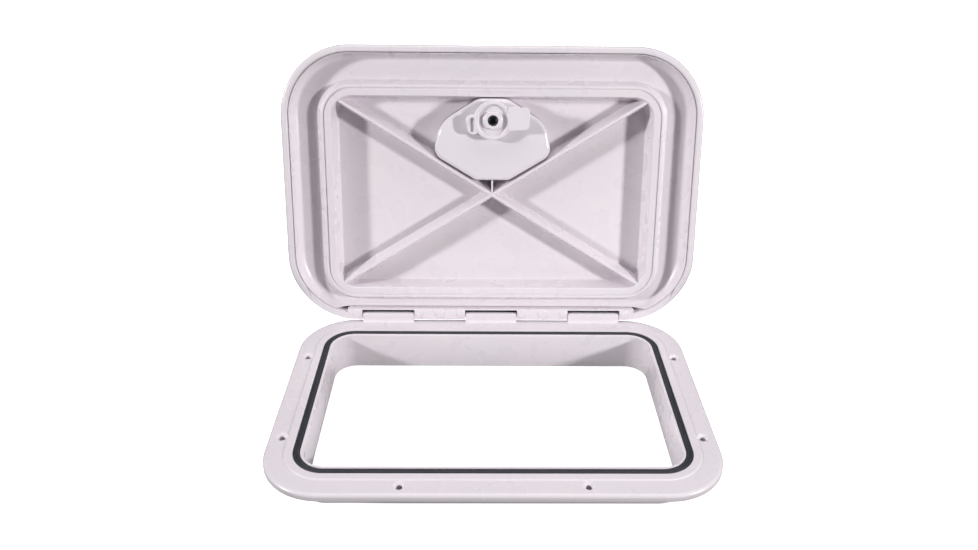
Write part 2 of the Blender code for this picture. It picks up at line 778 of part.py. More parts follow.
def build_cam_fixing():
    wave = washer("wave_washer", 6.6 * MM, 9.6 * MM, 4.3 * MM, 5.1 * MM, STAINLESS)
    flat = washer("cam_washer", 2.4 * MM, 4.3 * MM, -2.4 * MM, -1.8 * MM, STAINLESS, 24)
    profile = [
        (0, 12 * MM),
        (SCREW_RADIUS, 12 * MM),
        (SCREW_RADIUS, -2.7 * MM),
        (3.6 * MM, -2.7 * MM),
        (3.6 * MM, -3.9 * MM),
        (2.9 * MM, -4.5 * MM),
        (1.6 * MM, -4.5 * MM),
        (1.2 * MM, -3.3 * MM),
        (0, -3.3 * MM),
    ]
    screw = turned("cam_screw", profile, 24, STAINLESS)
    screw.location = (0, HUB_Y, 0)
    return wave, flat, smooth(screw)


def build_spindle():
    half = SQUARE / 2
    drive_low = (-half, HUB_Y - half, 0.9 * MM)
    drive_high = (half, HUB_Y + half, 22 * MM)
    spindle = box("latch_spindle", drive_low, drive_high, STAINLESS)
    journal = cylinder("journal", SPINDLE_RADIUS, DISH_BACK - 0.1 * MM, 11 * MM, 24)
    tapping = cylinder("tapping_cutter", SCREW_RADIUS + GAP, -5 * MM, 13 * MM, 16)
    for piece in (journal, tapping):
        piece.location = (0, HUB_Y, 0)
    join(spindle, journal)
    return cut(spindle, tapping)


def build_o_ring():
    bm = bmesh.new()
    sides = 8
    thickness = 1.1 * MM
    loop = arc(7.5 * MM, 9.4 * MM, thickness, 2 * math.pi, -2 * math.pi, sides)[:-1]
    verts = [bm.verts.new((r, 0, z)) for r, z in loop]
    for start, end in zip(verts, verts[1:] + verts[:1]):
        bm.edges.new((start, end))
    mesh = bpy.data.meshes.new("spindle_o_ring")
    bm.to_mesh(mesh)
    bm.free()
    ring = bpy.data.objects.new("spindle_o_ring", mesh)
    bpy.context.scene.collection.objects.link(ring)
    screw = ring.modifiers.new("turn", "SCREW")
    screw.steps = 32
    screw.render_steps = 32
    screw.use_merge_vertices = True
    screw.merge_threshold = 0.00001
    ring.location = (0, HUB_Y, 0)
    return put(ring, BLACK_RUBBER, "spindle_o_ring")


def build_handle():
    """The lever in the dish. It points at LEVER_ANGLE, seen from below, when unlatched."""
    hub_bottom = DISH_FLOOR + 2 * GAP
    profile = [
        (0, LEVER_TOP),
        (12 * MM, LEVER_TOP),
        (13.5 * MM, LEVER_TOP - 1.5 * MM),
        (14 * MM, hub_bottom),
        (0, hub_bottom),
    ]
    handle = turned("latch_handle", profile, 32, WHITE_PLASTIC)
    handle.location = (0, HUB_Y, 0)
    reach = LEVER_REACH
    arm_outline = rounded_polygon(
        [(0, -8 * MM, 2 * MM), (reach, -6 * MM, 5 * MM), (reach, 6 * MM, 5 * MM), (0, 8 * MM, 2 * MM)]
    )
    arm = plate("lever_arm", arm_outline, 17 * MM, LEVER_TOP - 0.5 * MM, None, 1.5 * MM)
    arm.location = (0, HUB_Y, arm.location.z)
    arm.rotation_euler = (0, 0, -LEVER_ANGLE)
    half = SQUARE / 2 + GAP
    socket_low = (-half, HUB_Y - half, 0)
    socket_high = (half, HUB_Y + half, 22 * MM + GAP)
    socket = box("handle_socket_cutter", socket_low, socket_high)
    ring_room = cylinder("o_ring_cutter", 9.2 * MM, 0, 11.3 * MM, 32)
    ring_room.location = (0, HUB_Y, 0)
    join(handle, arm)
    return smooth(cut(handle, socket, ring_room))


def build_pins():
    """A stub pin at each end of each lug, half in the lug and half in the lid."""
    pins = []
    half = PIN_LENGTH / 2
    chamfer = 0.4 * MM
    profile = [
        (0, half),
        (PIN_RADIUS - chamfer, half),
        (PIN_RADIUS, half - chamfer),
        (PIN_RADIUS, chamfer - half),
        (PIN_RADIUS - chamfer, -half),
        (0, -half),
    ]
    ends = [centre + side * LUG_LENGTH / 2 for centre in LUG_CENTRES for side in (-1, 1)]
    for index, x in enumerate(ends, start=1):
        pin = smooth(turned(f"hinge_pin_{index}", profile, 16, STAINLESS))
        pins.append(along_x(pin, x, AXIS_Y, AXIS_Z))
    return pins


# Assembly

build_frame()
build_gasket()
build_keeper()
before_lid = set(bpy.data.objects)
build_shell()
build_liner()
build_dish()
build_pins()
lid_pieces = [obj for obj in bpy.data.objects if obj not in before_lid]
before_latch = set(bpy.data.objects)
build_cam()
build_cam_fixing()
build_spindle()
build_o_ring()
build_handle()
latch_pieces = [obj for obj in bpy.data.objects if obj not in before_latch]

lid_hinge = empty("lid_hinge", (0, AXIS_Y, AXIS_Z))
latch_turn = empty("latch_turn", (0, HUB_Y, CAM_TOP))
hang(lid_pieces, lid_hinge)
hang(latch_pieces, latch_turn)
hang([latch_turn], lid_hinge)
lid_hinge.rotation_euler = (-OPEN_ANGLE, 0, 0)
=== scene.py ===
import json
import math

import bmesh
import bpy
from mathutils import Matrix, Vector


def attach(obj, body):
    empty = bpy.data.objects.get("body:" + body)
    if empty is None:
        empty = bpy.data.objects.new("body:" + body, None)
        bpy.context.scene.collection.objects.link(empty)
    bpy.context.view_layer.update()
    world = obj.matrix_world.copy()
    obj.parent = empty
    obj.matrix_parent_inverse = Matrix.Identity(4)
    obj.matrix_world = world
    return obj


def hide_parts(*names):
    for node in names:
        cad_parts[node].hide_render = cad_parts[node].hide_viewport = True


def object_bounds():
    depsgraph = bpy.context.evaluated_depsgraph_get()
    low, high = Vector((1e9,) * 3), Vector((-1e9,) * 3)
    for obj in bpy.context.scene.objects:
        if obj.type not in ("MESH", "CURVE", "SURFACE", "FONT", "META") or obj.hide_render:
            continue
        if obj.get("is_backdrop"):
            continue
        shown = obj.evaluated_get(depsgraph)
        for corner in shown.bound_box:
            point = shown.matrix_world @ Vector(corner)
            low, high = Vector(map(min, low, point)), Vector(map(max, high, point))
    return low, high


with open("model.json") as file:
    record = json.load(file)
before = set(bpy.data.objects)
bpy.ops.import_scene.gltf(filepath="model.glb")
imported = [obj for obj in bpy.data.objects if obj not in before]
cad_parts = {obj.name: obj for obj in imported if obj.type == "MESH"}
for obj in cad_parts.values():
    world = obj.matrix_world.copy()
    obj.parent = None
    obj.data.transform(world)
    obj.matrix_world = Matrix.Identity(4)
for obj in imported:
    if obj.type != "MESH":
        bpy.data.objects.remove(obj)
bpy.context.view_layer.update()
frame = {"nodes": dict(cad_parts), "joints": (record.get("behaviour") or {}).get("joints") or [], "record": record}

# A white plastic deck hatch, open on its hinge. Shapes are drawn in millimetres with the lid
# shut, then each mesh is scaled to metres and turned to where its body rests.

nodes = frame["nodes"]
joints = {joint["name"]: joint for joint in frame["joints"]}
hingeY = joints["lid_hinge"]["pos_m"][1] * 1000
hingeZ = joints["lid_hinge"]["pos_m"][2] * 1000
openAngle = math.radians(joints["lid_hinge"]["range_deg"][1])
toMetres = Matrix.Scale(0.001, 4)
toHinge = Matrix.Translation((0, hingeY, hingeZ))
lidOpen = toHinge @ Matrix.Rotation(-openAngle, 4, "X") @ toHinge.inverted()
print("frame loaded")


def arcPoints(x, y, radius, start, turn, steps):
    angles = [start + turn * i / steps for i in range(steps + 1)]
    return [(x + radius * math.cos(a), y + radius * math.sin(a)) for a in angles]


def filleted(corners, closed=True, degrees=12):
    # each corner is (x, y, radius), inside or outside, and becomes an arc
    points = []
    count = len(corners)
    for i, (x, y, radius) in enumerate(corners):
        if radius == 0 or (not closed and i in (0, count - 1)):
            points.append((x, y))
            continue
        here = Vector((x, y))
        back = (Vector(corners[i - 1][:2]) - here).normalized()
        on = (Vector(corners[(i + 1) % count][:2]) - here).normalized()
        half = back.angle(on) / 2
        first = here + back * radius / math.tan(half)
        last = here + on * radius / math.tan(half)
        middle = here + (back + on).normalized() * radius / math.sin(half)
        start = math.atan2(first.y - middle.y, first.x - middle.x)
        turn = math.atan2(last.y - middle.y, last.x - middle.x) - start
        turn = (turn + math.pi) % (2 * math.pi) - math.pi
        steps = max(2, math.ceil(abs(math.degrees(turn)) / degrees))
        points += arcPoints(middle.x, middle.y, radius, start, turn, steps)
    return points


def roundedRect(width, depth, radius, middleY, steps=20):
    points = []
    for quarter, (sx, sy) in enumerate(((1, 1), (-1, 1), (-1, -1), (1, -1))):
        centre = (sx * (width / 2 - radius), middleY + sy * (depth / 2 - radius))
        points += arcPoints(*centre, radius, quarter * math.pi / 2, math.pi / 2, steps)
    return points


def solid(name, bm):
    bmesh.ops.recalc_face_normals(bm, faces=bm.faces)
    mesh = bpy.data.meshes.new(name)
    bm.to_mesh(mesh)
    bm.free()
    obj = bpy.data.objects.new(name, mesh)
    bpy.context.scene.collection.objects.link(obj)
    return obj


def sweep(name, outlineAt, profile, capped=False):
    # outlineAt(inset) gives the outline, and profile is (inset, z) points
    bm = bmesh.new()
    rings = [[bm.verts.new((x, y, z)) for x, y in outlineAt(inset)] for inset, z in profile]
    pairs = list(zip(rings, rings[1:] if capped else rings[1:] + rings[:1]))
    for low, high in pairs:
        for i in range(len(low)):
            j = (i + 1) % len(low)
            bm.faces.new((low[i], low[j], high[j], high[i]))
    if capped:
        bm.faces.new(rings[0])
        bm.faces.new(rings[-1])
    return solid(name, bm)


def plate(name, outline, low, high, edge=0.0):
    bm = bmesh.new()
    bottom = [bm.verts.new((x, y, low)) for x, y in outline]
    top = [bm.verts.new((x, y, high)) for x, y in outline]
    rims = []
    for i in range(len(outline)):
        j = (i + 1) % len(outline)
        face = bm.faces.new((bottom[i], bottom[j], top[j], top[i]))
        rims += [face.edges[0], face.edges[2]]
    bm.faces.new(bottom)
    bm.faces.new(top)
    bmesh.ops.recalc_face_normals(bm, faces=bm.faces)    # or the bevel would flare outward
    if edge:
        bmesh.ops.bevel(bm, geom=rims, offset=edge, segments=4, profile=0.5, affect="EDGES")
    return solid(name, bm)


def turned(name, profile, x=0, y=0, z=0, steps=64):
    # profile is (radius, z) points, and ends on the axis are closed by fans
    bm = bmesh.new()
    rings = []
    for radius, height in profile:
        count = steps if radius > 0 else 1
        turn = [2 * math.pi * i / steps for i in range(count)]
        rings.append([bm.verts.new((radius * math.cos(a), radius * math.sin(a), height)) for a in turn])
    pairs = list(zip(rings, rings[1:]))
    if profile[0][0] > 0:
        pairs.append((rings[-1], rings[0]))
    for first, second in pairs:
        for i in range(steps):
            j = (i + 1) % steps
            corners = [first[i % len(first)], first[j % len(first)]]
            corners += [second[j % len(second)], second[i % len(second)]]
            bm.faces.new(list(dict.fromkeys(corners)))
    bmesh.ops.translate(bm, verts=bm.verts, vec=(x, y, z))
    return solid(name, bm)


def barAlongX(name, outline, low, high):
    # outline is (y, z) points
    bm = bmesh.new()
    ends = [[bm.verts.new((x, y, z)) for y, z in outline] for x in (low, high)]
    for i in range(len(outline)):
        j = (i + 1) % len(outline)
        bm.faces.new((ends[0][i], ends[0][j], ends[1][j], ends[1][i]))
    bm.faces.new(ends[0])
    bm.faces.new(ends[1])
    return solid(name, bm)


def block(name, low, high):
    outline = [(low[0], low[1]), (high[0], low[1]), (high[0], high[1]), (low[0], high[1])]
    return plate(name, outline, low[2], high[2])


def spun(obj, matrix):
    obj.data.transform(matrix)
    return obj


def combine(obj, operation, others):
    for other in others:
        change = obj.modifiers.new("change", "BOOLEAN")
        change.operation = operation
        change.solver = "EXACT"
        change.object = other
    bpy.context.view_layer.update()
    graph = bpy.context.evaluated_depsgraph_get()
    mesh = bpy.data.meshes.new_from_object(obj.evaluated_get(graph))
    obj.modifiers.clear()
    obj.data = mesh
    for other in others:
        bpy.data.objects.remove(other)
    return obj


def cut(obj, *others):
    return combine(obj, "DIFFERENCE", others)


def join(obj, *others):
    return combine(obj, "UNION", others)


def place(obj, body, material, replaced, angle=32):
    # turns the finished solid to its rest place and hands it to its body
    matrix = toMetres if body == "hatch_frame" else toMetres @ lidOpen
    obj.data.transform(matrix)
    obj.data.materials.clear()
    obj.data.materials.append(material)
    obj.data.shade_smooth()
    obj.data.set_sharp_from_angle(angle=math.radians(angle))
    even = obj.modifiers.new("evenNormals", "WEIGHTED_NORMAL")
    even.keep_sharp = True
    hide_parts(*replaced)
    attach(obj, body)
    return obj


def linear(hexColour):
    parts = [int(hexColour[i:i + 2], 16) / 255 for i in (1, 3, 5)]
    return tuple(p / 12.92 if p <= 0.04045 else ((p + 0.055) / 1.055) ** 2.4 for p in parts) + (1,)


def addNode(material, kind, settings=None, inputs=None):
    tree = material.node_tree
    node = tree.nodes.new(kind)
    for key, value in (settings or {}).items():
        setattr(node, key, value)
    for key, value in (inputs or {}).items():
        if isinstance(value, bpy.types.NodeSocket):
            tree.links.new(value, node.inputs[key])
        else:
            node.inputs[key].default_value = value
    return node


def newMaterial(name, base):
    material = bpy.data.materials.new(name)
    material.use_nodes = True
    material.node_tree.nodes.clear()
    material.diffuse_color = linear(base)
    return material


def finish(material, shader):
    addNode(material, "ShaderNodeOutputMaterial", None, {"Surface": shader.outputs["BSDF"]})
    return material


def perMetre(millimetres):
    return 1000 / millimetres


plasticGrain = {"drift": 70.0, "handling": 24.0, "peel": 5.0, "flow": 38.0,
                "peelDepth": 0.1, "flowDepth": 0.6}    # millimetres
steelGrain = {"lineLength": 25.0, "lineGap": 0.4, "lineDepth": 0.05}    # millimetres


def mouldedPlastic(name, look):
    # Injection-moulded ASA, and the cam's moulded nylon: a soft gloss with a faint orange peel, and
    # a cast that drifts a little from one part of the moulding to another.
    material = newMaterial(name, look["colour"])
    where = addNode(material, "ShaderNodeTexCoord")
    drift = addNode(material, "ShaderNodeTexNoise", None, {
        "Vector": where.outputs["Object"], "Scale": perMetre(plasticGrain["drift"]), "Detail": 3.0})
    cast = addNode(material, "ShaderNodeMix", {"data_type": "RGBA"}, {
        "Factor": drift.outputs["Fac"]})
    cast.inputs[6].default_value = linear(look["colour"])
    cast.inputs[7].default_value = linear(look["shade"])
    handling = addNode(material, "ShaderNodeTexNoise", None, {
        "Vector": where.outputs["Object"], "Scale": perMetre(plasticGrain["handling"]), "Detail": 2.0})
    gloss = addNode(material, "ShaderNodeMapRange", None, {
        "Value": handling.outputs["Fac"], "From Min": 0.3, "From Max": 0.7,
        "To Min": look["gloss"], "To Max": look["dull"]})
    # the real orange peel is about 1 mm across, too fine to show, so it is drawn five times coarser
    peel = addNode(material, "ShaderNodeTexNoise", None, {
        "Vector": where.outputs["Object"], "Scale": perMetre(plasticGrain["peel"]), "Detail": 0.0})
    flow = addNode(material, "ShaderNodeTexNoise", None, {
        "Vector": where.outputs["Object"], "Scale": perMetre(plasticGrain["flow"]), "Detail": 1.0})
    ripple = addNode(material, "ShaderNodeBump", None, {
        "Height": flow.outputs["Fac"], "Strength": look["flow"],
        "Distance": plasticGrain["flowDepth"] / 1000})
    skin = addNode(material, "ShaderNodeBump", None, {
        "Height": peel.outputs["Fac"], "Normal": ripple.outputs["Normal"],
        "Strength": look["peel"], "Distance": plasticGrain["peelDepth"] / 1000})
    shader = addNode(material, "ShaderNodeBsdfPrincipled", None, {
        "Base Color": cast.outputs[2], "Roughness": gloss.outputs["Result"],
        "Normal": skin.outputs["Normal"], "IOR": 1.5,
        "Coat Weight": look["coat"], "Coat Roughness": 0.12})
    return finish(material, shader)


def extrudedRubber(name, look):
    # Extruded EPDM: nearly black, with a dull bloom and fine pores that take its shine.
    material = newMaterial(name, look["colour"])
    where = addNode(material, "ShaderNodeTexCoord")
    bloom = addNode(material, "ShaderNodeTexNoise", None, {
        "Vector": where.outputs["Object"], "Scale": perMetre(look["bloomSize"]), "Detail": 5.0})
    cast = addNode(material, "ShaderNodeMix", {"data_type": "RGBA"}, {
        "Factor": bloom.outputs["Fac"]})
    cast.inputs[6].default_value = linear(look["colour"])
    cast.inputs[7].default_value = linear(look["bloom"])
    pores = addNode(material, "ShaderNodeTexNoise", None, {
        "Vector": where.outputs["Object"], "Scale": perMetre(look["poreSize"]), "Detail": 3.0})
    skin = addNode(material, "ShaderNodeBump", None, {
        "Height": pores.outputs["Fac"], "Strength": 0.35, "Distance": 0.0001})
    shader = addNode(material, "ShaderNodeBsdfPrincipled", None, {
        "Base Color": cast.outputs[2], "Roughness": look["roughness"],
        "Normal": skin.outputs["Normal"], "IOR": 1.52})
    return finish(material, shader)


def brushedStainless(name, look):
    # Stainless steel with a fine brushing along X, which spreads its highlights.
    material = newMaterial(name, look["colour"])
    where = addNode(material, "ShaderNodeTexCoord")
    along = perMetre(steelGrain["lineLength"])
    across = perMetre(steelGrain["lineGap"])
    drawn = addNode(material, "ShaderNodeMapping", None, {
        "Vector": where.outputs["Object"], "Scale": (along, across, across)})
    lines = addNode(material, "ShaderNodeTexNoise", None, {
        "Vector": drawn.outputs["Vector"], "Scale": 1.0, "Detail": 3.0})
    gloss = addNode(material, "ShaderNodeMapRange", None, {
        "Value": lines.outputs["Fac"], "To Min": 0.2, "To Max": look["roughness"]})
    skin = addNode(material, "ShaderNodeBump", None, {
        "Height": lines.outputs["Fac"], "Strength": 0.12,
        "Distance": steelGrain["lineDepth"] / 1000})
    shader = addNode(material, "ShaderNodeBsdfPrincipled", None, {
        "Base Color": linear(look["colour"]), "Metallic": 1.0,
        "Roughness": gloss.outputs["Result"], "Normal": skin.outputs["Normal"]})
    return finish(material, shader)


plasticLook = {"colour": "#E6DDE2", "shade": "#DFD8DF", "gloss": 0.24, "dull": 0.34,
               "flow": 0.04, "peel": 0.06, "coat": 0.15}
dishLook = {"colour": "#E8E0E6", "shade": "#E0D9E1", "gloss": 0.10, "dull": 0.18,
            "flow": 0.10, "peel": 0.03, "coat": 0.4}
# painted shade: a near-black look for the faces deep in the hinge slots, standing in for the shade there
slotShadeLook = {"colour": "#2E2C2F", "shade": "#3E3B3D", "gloss": 0.6, "dull": 0.8,
             "flow": 0.04, "peel": 0.06, "coat": 0.0}
camLook = {"colour": "#E9E1E7", "shade": "#E1DAE1", "gloss": 0.22, "dull": 0.34,
           "flow": 0.03, "peel": 0.08, "coat": 0.2}
rubberLook = {"colour": "#1E2029", "bloom": "#2E303B", "roughness": 0.55, "bloomSize": 9.0,
              "poreSize": 0.7}
steelLook = {"colour": "#C9C8C6", "roughness": 0.38}
# the recessed cam screw's steel is given a near-black colour
screwLook = {"colour": "#3A393C", "roughness": 0.5}

whiteAsa = mouldedPlastic("whiteMouldedAsa", plasticLook)
dishAsa = mouldedPlastic("polishedMouldedAsa", dishLook)
slotShadeAsa = mouldedPlastic("shadePaintedMouldedAsa", slotShadeLook)    # painted shade: a near-black colour on the faces deep in the hinge slots, where shade falls
camNylon = mouldedPlastic("whiteMouldedNylon", camLook)
epdm = extrudedRubber("blackExtrudedEpdm", rubberLook)
stainless = brushedStainless("brushedStainless", steelLook)
darkScrew = brushedStainless("darkDulledStainless", screwLook)
slotFinish = {"white_plastic": whiteAsa, "black_rubber": epdm, "stainless_steel": stainless}
slotOf = {part["node"]: part["material_slot"] for part in frame["record"]["subparts"]}
for nodeName, node in nodes.items():
    node.data.materials.clear()
    node.data.materials.append(slotFinish[slotOf[nodeName]])
    node.data.shade_smooth()
    node.data.set_sharp_from_angle(angle=math.radians(35))
print("materials made")


frameLook = {
    "width": 346.0, "depth": 234.0, "radius": 48.0, "rear": 13.0, "top": 6.0,
    "landInset": 15.4, "landTop": 6.8, "grooveInset": 22.0, "grooveWidth": 5.6,
    "openingInset": 29.6, "wall": 3.0, "coamingDepth": 28.0, "edgeRadius": 2.8,
    "holeInset": 10.6, "holeRadius": 2.25, "sinkRadius": 4.4,
    "lugCentres": (-97.0, 0.0, 97.0), "lugLength": 48.0, "lugRadius": 3.4,
    "lugFillet": 3.6, "lugSink": 1.2, "boreRadius": 2.3, "boreDepth": 14.0, "grooveFloor": 3.8,
    "screwsAlongSide": (-54, 54), "screwsAcrossFront": (-68, 68),
    "slotHalf": 29.5, "slotLow": -6.5, "slotHigh": -0.5,
}
frontY = frameLook["rear"] - frameLook["depth"]
middleY = (frameLook["rear"] + frontY) / 2


def frameOutline(inset, steps=20):
    look = frameLook
    return roundedRect(look["width"] - 2 * inset, look["depth"] - 2 * inset,
                       look["radius"] - inset, middleY, steps)


def lugOutline(look):
    root = hingeY - look["lugRadius"]
    foot = [(look["rear"] - 1, 3), (look["rear"] - 0.4, 5)]
    barrel = arcPoints(hingeY, hingeZ, look["lugRadius"], 0, math.pi, 20)
    soft = look["lugFillet"]
    fillet = arcPoints(root - soft, hingeZ - look["lugSink"], soft, 0, -math.pi / 2, 8)[1:]
    return foot + barrel + fillet + [(root - soft, 3)]


def makeFrame(look):
    inset = look["openingInset"]
    outer = inset - look["wall"]
    inner = look["grooveInset"] + look["grooveWidth"]
    land = look["landTop"]
    profile = filleted([
        (0, 0, 0.8), (0, look["top"], look["edgeRadius"]), (look["landInset"], look["top"], 0.4),
        (look["landInset"] + 0.9, land, 0.5), (look["grooveInset"], land, 0.3),
        (look["grooveInset"], look["grooveFloor"], 0), (inner, look["grooveFloor"], 0),
        (inner, land, 0.4),
        (inset, land, 0.7), (inset, -look["coamingDepth"], 0.9),
        (outer, -look["coamingDepth"], 0.9), (outer, 0, 0)], degrees=18)
    moulding = sweep("deckFrame", frameOutline, profile)
    half = look["lugLength"] / 2
    lugs = [barAlongX("lug", lugOutline(look), x - half, x + half) for x in look["lugCentres"]]
    join(moulding, *lugs)
    cutters = []
    sink = look["top"] - look["sinkRadius"] + look["holeRadius"]
    profile = [(0, look["top"] + 2), (look["sinkRadius"] + 0.3, look["top"] + 2),
               (look["sinkRadius"] + 0.3, look["top"]), (look["sinkRadius"], look["top"] - 0.2),
               (look["holeRadius"], sink), (look["holeRadius"], -2), (0, -2)]
    sideX = look["width"] / 2 - look["holeInset"]
    spots = [(side * sideX, middleY + y) for side in (-1, 1) for y in look["screwsAlongSide"]]
    spots += [(x, frontY + look["holeInset"]) for x in look["screwsAcrossFront"]]
    cutters += [turned("hole", profile, x, y, 0, 40) for x, y in spots]
    radius = look["boreRadius"]
    deep = look["boreDepth"]
    for centre in look["lugCentres"]:
        for side in (-1, 1):
            bore = turned("bore", [(0, deep), (radius, deep), (radius, -deep), (0, -deep)], steps=24)
            end = centre + side * half
            where = Matrix.Translation((end, hingeY, hingeZ)) @ Matrix.Rotation(math.pi / 2, 4, "Y")
            cutters.append(spun(bore, where))
    wallY = frontY + inset
    cutters.append(block("window", (-look["slotHalf"], wallY - 4, look["slotLow"]),
                         (look["slotHalf"], wallY + 1, look["slotHigh"])))
    cut(moulding, *cutters)
    return place(moulding, "hatch_frame", whiteAsa, ["frame"])


makeFrame(frameLook)
print("frame made")


sealLook = {"side": 0.3, "bottom": 4.1, "top": 7.0, "crown": 1.6, "seam": 0.35}


def makeSeal(look):
    left = frameLook["grooveInset"] + look["side"]
    right = frameLook["grooveInset"] + frameLook["grooveWidth"] - look["side"]
    middle = (left + right) / 2
    profile = filleted([
        (left, look["bottom"], 0.3), (left, look["top"], look["crown"]),
        (middle - look["seam"], look["top"], 0.1), (middle, look["top"] - look["seam"], 0.1),
        (middle + look["seam"], look["top"], 0.1), (right, look["top"], look["crown"]),
        (right, look["bottom"], 0.3)], degrees=18)
    seal = sweep("hatchSeal", frameOutline, profile)
    return place(seal, "hatch_frame", epdm, ["gasket"], 40)


makeSeal(sealLook)
print("seal made")


lidLook = {
    "overhang": 14.5, "rearReach": 3.6, "lipCrown": 1.5, "lipWidth": 6.4,
    "linerFace": 22.5, "linerSheet": 2.2, "gap": 0.3, "skin": 2.8, "floorFace": 26.3,
    "panelInset": 20.0, "barWidth": 11.0, "barFace": 7.4, "barLength": 270.0,
    "notchHalf": 24.5, "domeRadius": 4.3, "capRadius": 4.9, "domeHeight": 1.1, "domeInset": 3.0,
    "fadeFrom": -42.0, "fadeTo": 2.0, "fadeShare": 0.96, "fadeAbove": 0.5,
    "slotFront": 5.9, "slotDeep": 16.0, "lipSlope": 1.6, "lipSide": 4.6,
    "domeApart": 28.8, "capCentres": (-48.5, 48.5), "barrelClear": 3.9,
}
lidWidth = frameLook["width"] + 2 * lidLook["overhang"]
lidRear = hingeY + lidLook["rearReach"]
lidFront = frontY - lidLook["overhang"]
lidRadius = frameLook["radius"] + lidLook["overhang"]
hubY = frontY + 49.4        # the latch's turning axis


def lidOutline(inset, steps=24):
    return roundedRect(lidWidth - 2 * inset, lidRear - lidFront - 2 * inset,
                       lidRadius - inset, (lidRear + lidFront) / 2, steps)


def dishOutline(grow):
    # a fan: half its corners, measured across and away from the latch's axis, then grown all round
    half = ((13, 18.5, 14), (47, -3, 26), (53.5, -31, 12), (15, -54, 8))
    corners = [(-x, hubY - v, r) for x, v, r in reversed(half)]
    corners += [(x, hubY - v, r) for x, v, r in half]
    fanY = hubY + 18
    halfWidth = 54
    halfDepth = 36
    wide = (halfWidth + grow) / halfWidth
    deep = (halfDepth + grow) / halfDepth
    grown = [(x * wide, fanY + (y - fanY) * deep, r + grow) for x, y, r in corners]
    return filleted(grown, degrees=6)


def barDome(x, radius, height):
    profile = [(0, 2), (radius, 2), (radius, 0)]
    profile += [(radius * math.cos(a), -height * math.sin(a))
                for a in (math.radians(d) for d in (15, 30, 45, 60, 75))]
    profile += [(0, -height)]
    return turned("dome", profile, x, hingeY - lidLook["domeInset"], lidLook["barFace"], 32)


def fadeLip(shell, look):
    # the lip sinks smoothly almost to the level of the hinge bar at the two rear corners
    for vertex in shell.data.vertices:
        along = (vertex.co.y - look["fadeFrom"]) / (look["fadeTo"] - look["fadeFrom"])
        share = min(max(along, 0), 1)
        share = look["fadeShare"] * share * share * (3 - 2 * share)
        vertex.co.z += max(look["barFace"] + look["fadeAbove"] - vertex.co.z, 0) * share


def inSlot(point, look):
    # A face is judged by its middle alone. The lid's long rear wall has its middle behind the
    # middle slot, so it counts as in the slot too, and takes the painted slot shade: a known fault.
    margin = 0.1
    aside = min(abs(point.x - centre) for centre in frameLook["lugCentres"])
    near = aside < look["notchHalf"] + margin
    deep = look["barFace"] + 4 * margin < point.z < look["slotDeep"] + margin
    return near and deep and point.y > look["slotFront"] - margin


def makeShell(look):
    face = look["linerFace"] + look["linerSheet"] + look["gap"]
    rim = face + look["skin"]
    panelTop = look["floorFace"] + look["linerSheet"] + look["gap"] + look["skin"]
    stepIn = look["panelInset"] + 1.2 * look["skin"]
    profile = filleted([
        (look["panelInset"] + 2.6, panelTop, 0), (look["panelInset"] + 2.4, panelTop, 0),
        (look["panelInset"], rim, 1.2), (2.4, rim, 3.2), (0, look["lipSide"], 1.6),
        (look["lipSlope"], look["lipCrown"], 1.6), (look["lipWidth"] - 0.1, look["lipCrown"], 1.6),
        (look["lipWidth"] + 2, face, 0.6), (stepIn, face, 0), (stepIn + 2, panelTop - look["skin"], 0),
    ], closed=False, degrees=15)
    profile = [(inset, min(z, panelTop)) for inset, z in profile]
    shell = sweep("lidShell", lidOutline, profile, True)
    fadeLip(shell, look)
    half = look["barLength"] / 2
    join(shell, block("bar", (-half, lidRear - look["barWidth"], look["barFace"] - 3),
                      (half, lidRear - 3, face + 1)))
    around = frameLook["radius"] + 1
    clearance = roundedRect(frameLook["width"] + 2, frameLook["depth"] + 8, around, middleY + 3, 24)
    curve = arcPoints(hingeY, hingeZ, look["barrelClear"], 0, -math.pi / 2, 16)
    curve += [(hingeY, hingeZ - 8), (hingeY + 8, hingeZ - 8), (hingeY + 8, hingeZ)]
    cut(shell, plate("clear", clearance, -10, look["barFace"]))
    domes = [barDome(x + side * look["domeApart"], look["domeRadius"], look["domeHeight"])
             for x in frameLook["lugCentres"] for side in (-1, 1)]
    domes += [barDome(x, look["capRadius"], look["domeHeight"]) for x in look["capCentres"]]
    join(shell, *domes)
    cutters = [barAlongX("trim", curve, -half - 20, half + 20)]
    wide = look["notchHalf"]
    for centre in frameLook["lugCentres"]:
        cutters.append(block("notch", (centre - wide, look["slotFront"], 0),
                             (centre + wide, lidRear + 3, look["slotDeep"])))
    cutters.append(plate("well", dishOutline(0.3), 20, 45))
    cut(shell, *cutters)
    # faces deep in the hinge slots are picked here to take the near-black painted shade
    slots = [face.index for face in shell.data.polygons if inSlot(face.center, look)]
    place(shell, "lid", whiteAsa, ["lid_outer_shell"])
    shell.data.materials.append(slotShadeAsa)
    for index in slots:
        shell.data.polygons[index].material_index = 1


makeShell(lidLook)
print("lid shell made")


linerLook = {
    "face": 17.0, "ringOutset": 1.1, "crown": 7.3, "crownWidth": 8.3, "flare": 5.4,
    "pocketDraft": 10.0, "ribCrest": 8.0, "ribWidth": 2.4, "ribDraft": 12.0,
    "scoopHalf": 21.5, "scoopDepth": 1.8, "beadWidth": 2.1, "beadGroove": 1.3, "beadDeep": 0.9,
    "beadOutset": 0.9, "coveTop": 4.2, "coveReach": 14.0, "coveWall": 0.6, "ringHollow": 12,
    "gap": 0.4, "webHalf": 0.8, "webLength": 16,
}


def straightRib(look, angle, length):
    height = lidLook["floorFace"] + 1 - look["ribCrest"]
    crest = look["ribWidth"] / 2
    foot = crest + height * math.tan(math.radians(look["ribDraft"]))
    low = look["ribCrest"]
    section = filleted([(-foot, low + height, 0), (-crest, low, 0.8), (crest, low, 0.8),
                        (foot, low + height, 0)], degrees=18)
    rib = barAlongX("rib", section, -length / 2, length / 2)
    return spun(rib, Matrix.Translation((0, middleY, 0)) @ Matrix.Rotation(angle, 4, "Z"))


